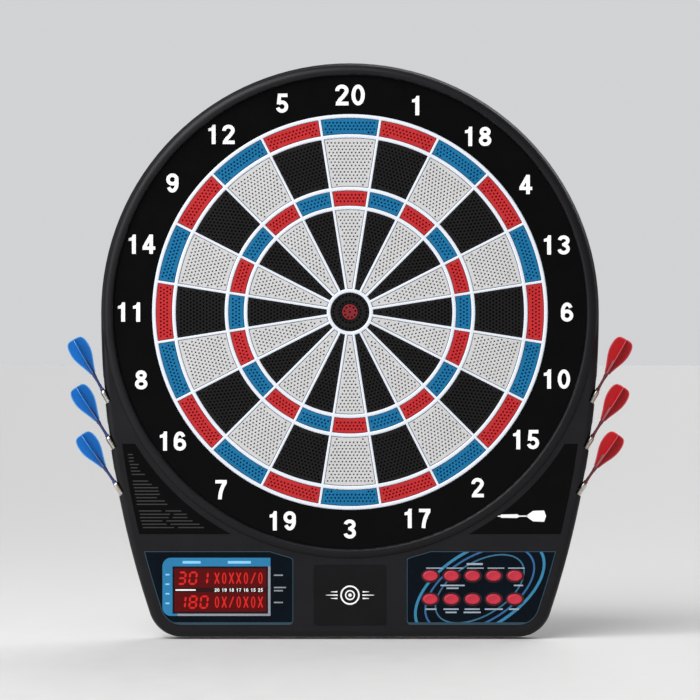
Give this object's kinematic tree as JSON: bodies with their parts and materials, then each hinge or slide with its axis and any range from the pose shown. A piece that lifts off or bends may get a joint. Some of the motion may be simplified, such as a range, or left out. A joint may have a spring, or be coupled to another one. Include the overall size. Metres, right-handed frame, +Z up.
{
  "type": "electronic dartboard",
  "caption": "Wall-hung electronic dartboard with sprung scoring segments, number ring, display and key console, and soft-tip darts stored in side sockets.",
  "frame": {"origin": "on the wall plane at the back of the rear cover, straight behind the centre of the bull", "axes": "+Z up, +X to the player's right, +Y into the wall; the playing face looks along -Y"},
  "size_m": [0.5624, 0.036, 0.5716],
  "materials": {
    "housing_plastic": "fine-textured moulded plastic, satin",
    "cover_plastic": "fine-textured moulded plastic, matt",
    "number_ring_plastic": "smooth black plastic with printed numbers",
    "web_plastic": "moulded pale plastic",
    "segment_white": "moulded plastic with a field of small holes",
    "segment_black": "moulded plastic with a field of small holes",
    "segment_red": "moulded plastic with a field of small holes",
    "segment_blue": "moulded plastic with a field of small holes",
    "rubber": "moulded sheet",
    "membrane_film": "printed polyester film",
    "foam": "closed-cell foam",
    "fibre_board": "hardboard",
    "overlay_film": "back-printed film, satin",
    "smoked_window": "smoked acrylic, polished",
    "display_block": "moulded block with light segments",
    "circuit_board": "solder-masked laminate",
    "speaker_steel": "pressed steel",
    "black_plastic": "moulded plastic",
    "badge_plastic": "satin plate with a printed emblem",
    "cable_film": "ribbon cable",
    "screw_steel": "zinc-plated",
    "button_rubber": "moulded silicone",
    "dart_blue": "moulded plastic and film flight",
    "dart_red": "moulded plastic and film flight",
    "dart_barrel": "knurled nickel-plated brass",
    "print_white": "screen print",
    "display_light": "lit display segments, emissive"
  },
  "bodies": {
    "board": {"front_housing": "housing_plastic", "rear_cover": "cover_plastic", "number_ring": "number_ring_plastic", "scoring_web": "web_plastic", "rubber_sheet": "rubber", "switch_membrane": "membrane_film", "foam_pad": "foam", "backing_board": "fibre_board", "display_overlay": "overlay_film", "key_overlay": "overlay_film", "display_window": "smoked_window", "display_module": "display_block", "display_board": "circuit_board", "key_board": "circuit_board", "main_board": "circuit_board", "speaker": "speaker_steel", "power_inlet": "black_plastic", "centre_badge": "badge_plastic", "flat_cables": "cable_film", "cover_screws": "screw_steel", "inner_screws": "screw_steel", "dart_sockets": "black_plastic"},
    "sector_20": {"segments_20": "segment_white"},
    "sector_01": {"segments_01": "segment_black"},
    "sector_18": {"segments_18": "segment_white"},
    "sector_04": {"segments_04": "segment_black"},
    "sector_13": {"segments_13": "segment_white"},
    "sector_06": {"segments_06": "segment_black"},
    "sector_10": {"segments_10": "segment_white"},
    "sector_15": {"segments_15": "segment_black"},
    "sector_02": {"segments_02": "segment_white"},
    "sector_17": {"segments_17": "segment_black"},
    "sector_03": {"segments_03": "segment_white"},
    "sector_19": {"segments_19": "segment_black"},
    "sector_07": {"segments_07": "segment_white"},
    "sector_16": {"segments_16": "segment_black"},
    "sector_08": {"segments_08": "segment_white"},
    "sector_11": {"segments_11": "segment_black"},
    "sector_14": {"segments_14": "segment_white"},
    "sector_09": {"segments_09": "segment_black"},
    "sector_12": {"segments_12": "segment_white"},
    "sector_05": {"segments_05": "segment_black"},
    "outer_bull": {"outer_bull": "segment_black"},
    "inner_bull": {"inner_bull": "segment_red"},
    "key_01": {"button_01": "button_rubber"},
    "key_02": {"button_02": "button_rubber"},
    "key_03": {"button_03": "button_rubber"},
    "key_04": {"button_04": "button_rubber"},
    "key_05": {"button_05": "button_rubber"},
    "key_06": {"button_06": "button_rubber"},
    "key_07": {"button_07": "button_rubber"},
    "key_08": {"button_08": "button_rubber"},
    "key_09": {"button_09": "button_rubber"},
    "key_10": {"button_10": "button_rubber"},
    "dart_blue_1": {"dart_blue_1": "dart_blue"},
    "dart_blue_2": {"dart_blue_2": "dart_blue"},
    "dart_blue_3": {"dart_blue_3": "dart_blue"},
    "dart_red_1": {"dart_red_1": "dart_red"},
    "dart_red_2": {"dart_red_2": "dart_red"},
    "dart_red_3": {"dart_red_3": "dart_red"}
  },
  "joints": [
    {"name": "press_20", "type": "slide", "parent": "board", "child": "sector_20", "axis": [0, 1, 0], "range_m": [0, 0.0012], "stiffness_N_per_m": 400},
    {"name": "press_01", "type": "slide", "parent": "board", "child": "sector_01", "axis": [0, 1, 0], "range_m": [0, 0.0012], "stiffness_N_per_m": 400},
    {"name": "press_18", "type": "slide", "parent": "board", "child": "sector_18", "axis": [0, 1, 0], "range_m": [0, 0.0012], "stiffness_N_per_m": 400},
    {"name": "press_04", "type": "slide", "parent": "board", "child": "sector_04", "axis": [0, 1, 0], "range_m": [0, 0.0012], "stiffness_N_per_m": 400},
    {"name": "press_13", "type": "slide", "parent": "board", "child": "sector_13", "axis": [0, 1, 0], "range_m": [0, 0.0012], "stiffness_N_per_m": 400},
    {"name": "press_06", "type": "slide", "parent": "board", "child": "sector_06", "axis": [0, 1, 0], "range_m": [0, 0.0012], "stiffness_N_per_m": 400},
    {"name": "press_10", "type": "slide", "parent": "board", "child": "sector_10", "axis": [0, 1, 0], "range_m": [0, 0.0012], "stiffness_N_per_m": 400},
    {"name": "press_15", "type": "slide", "parent": "board", "child": "sector_15", "axis": [0, 1, 0], "range_m": [0, 0.0012], "stiffness_N_per_m": 400},
    {"name": "press_02", "type": "slide", "parent": "board", "child": "sector_02", "axis": [0, 1, 0], "range_m": [0, 0.0012], "stiffness_N_per_m": 400},
    {"name": "press_17", "type": "slide", "parent": "board", "child": "sector_17", "axis": [0, 1, 0], "range_m": [0, 0.0012], "stiffness_N_per_m": 400},
    {"name": "press_03", "type": "slide", "parent": "board", "child": "sector_03", "axis": [0, 1, 0], "range_m": [0, 0.0012], "stiffness_N_per_m": 400},
    {"name": "press_19", "type": "slide", "parent": "board", "child": "sector_19", "axis": [0, 1, 0], "range_m": [0, 0.0012], "stiffness_N_per_m": 400},
    {"name": "press_07", "type": "slide", "parent": "board", "child": "sector_07", "axis": [0, 1, 0], "range_m": [0, 0.0012], "stiffness_N_per_m": 400},
    {"name": "press_16", "type": "slide", "parent": "board", "child": "sector_16", "axis": [0, 1, 0], "range_m": [0, 0.0012], "stiffness_N_per_m": 400},
    {"name": "press_08", "type": "slide", "parent": "board", "child": "sector_08", "axis": [0, 1, 0], "range_m": [0, 0.0012], "stiffness_N_per_m": 400},
    {"name": "press_11", "type": "slide", "parent": "board", "child": "sector_11", "axis": [0, 1, 0], "range_m": [0, 0.0012], "stiffness_N_per_m": 400},
    {"name": "press_14", "type": "slide", "parent": "board", "child": "sector_14", "axis": [0, 1, 0], "range_m": [0, 0.0012], "stiffness_N_per_m": 400},
    {"name": "press_09", "type": "slide", "parent": "board", "child": "sector_09", "axis": [0, 1, 0], "range_m": [0, 0.0012], "stiffness_N_per_m": 400},
    {"name": "press_12", "type": "slide", "parent": "board", "child": "sector_12", "axis": [0, 1, 0], "range_m": [0, 0.0012], "stiffness_N_per_m": 400},
    {"name": "press_05", "type": "slide", "parent": "board", "child": "sector_05", "axis": [0, 1, 0], "range_m": [0, 0.0012], "stiffness_N_per_m": 400},
    {"name": "press_outer_bull", "type": "slide", "parent": "board", "child": "outer_bull", "axis": [0, 1, 0], "range_m": [0, 0.0012], "stiffness_N_per_m": 300},
    {"name": "press_inner_bull", "type": "slide", "parent": "board", "child": "inner_bull", "axis": [0, 1, 0], "range_m": [0, 0.0012], "stiffness_N_per_m": 300},
    {"name": "press_key_01", "type": "slide", "parent": "board", "child": "key_01", "axis": [0, 1, 0], "range_m": [0, 0.0008], "stiffness_N_per_m": 250},
    {"name": "press_key_02", "type": "slide", "parent": "board", "child": "key_02", "axis": [0, 1, 0], "range_m": [0, 0.0008], "stiffness_N_per_m": 250},
    {"name": "press_key_03", "type": "slide", "parent": "board", "child": "key_03", "axis": [0, 1, 0], "range_m": [0, 0.0008], "stiffness_N_per_m": 250},
    {"name": "press_key_04", "type": "slide", "parent": "board", "child": "key_04", "axis": [0, 1, 0], "range_m": [0, 0.0008], "stiffness_N_per_m": 250},
    {"name": "press_key_05", "type": "slide", "parent": "board", "child": "key_05", "axis": [0, 1, 0], "range_m": [0, 0.0008], "stiffness_N_per_m": 250},
    {"name": "press_key_06", "type": "slide", "parent": "board", "child": "key_06", "axis": [0, 1, 0], "range_m": [0, 0.0008], "stiffness_N_per_m": 250},
    {"name": "press_key_07", "type": "slide", "parent": "board", "child": "key_07", "axis": [0, 1, 0], "range_m": [0, 0.0008], "stiffness_N_per_m": 250},
    {"name": "press_key_08", "type": "slide", "parent": "board", "child": "key_08", "axis": [0, 1, 0], "range_m": [0, 0.0008], "stiffness_N_per_m": 250},
    {"name": "press_key_09", "type": "slide", "parent": "board", "child": "key_09", "axis": [0, 1, 0], "range_m": [0, 0.0008], "stiffness_N_per_m": 250},
    {"name": "press_key_10", "type": "slide", "parent": "board", "child": "key_10", "axis": [0, 1, 0], "range_m": [0, 0.0008], "stiffness_N_per_m": 250},
    {"name": "pull_dart_blue_1", "type": "slide", "parent": "board", "child": "dart_blue_1", "axis": [-0.4924, 0, 0.8704], "range_m": [0, 0.12]},
    {"name": "pull_dart_blue_2", "type": "slide", "parent": "board", "child": "dart_blue_2", "axis": [-0.5299, 0, 0.848], "range_m": [0, 0.12]},
    {"name": "pull_dart_blue_3", "type": "slide", "parent": "board", "child": "dart_blue_3", "axis": [-0.5664, 0, 0.8241], "range_m": [0, 0.12]},
    {"name": "pull_dart_red_1", "type": "slide", "parent": "board", "child": "dart_red_1", "axis": [0.4924, 0, 0.8704], "range_m": [0, 0.12]},
    {"name": "pull_dart_red_2", "type": "slide", "parent": "board", "child": "dart_red_2", "axis": [0.5299, 0, 0.848], "range_m": [0, 0.12]},
    {"name": "pull_dart_red_3", "type": "slide", "parent": "board", "child": "dart_red_3", "axis": [0.5664, 0, 0.8241], "range_m": [0, 0.12]}
  ]
}
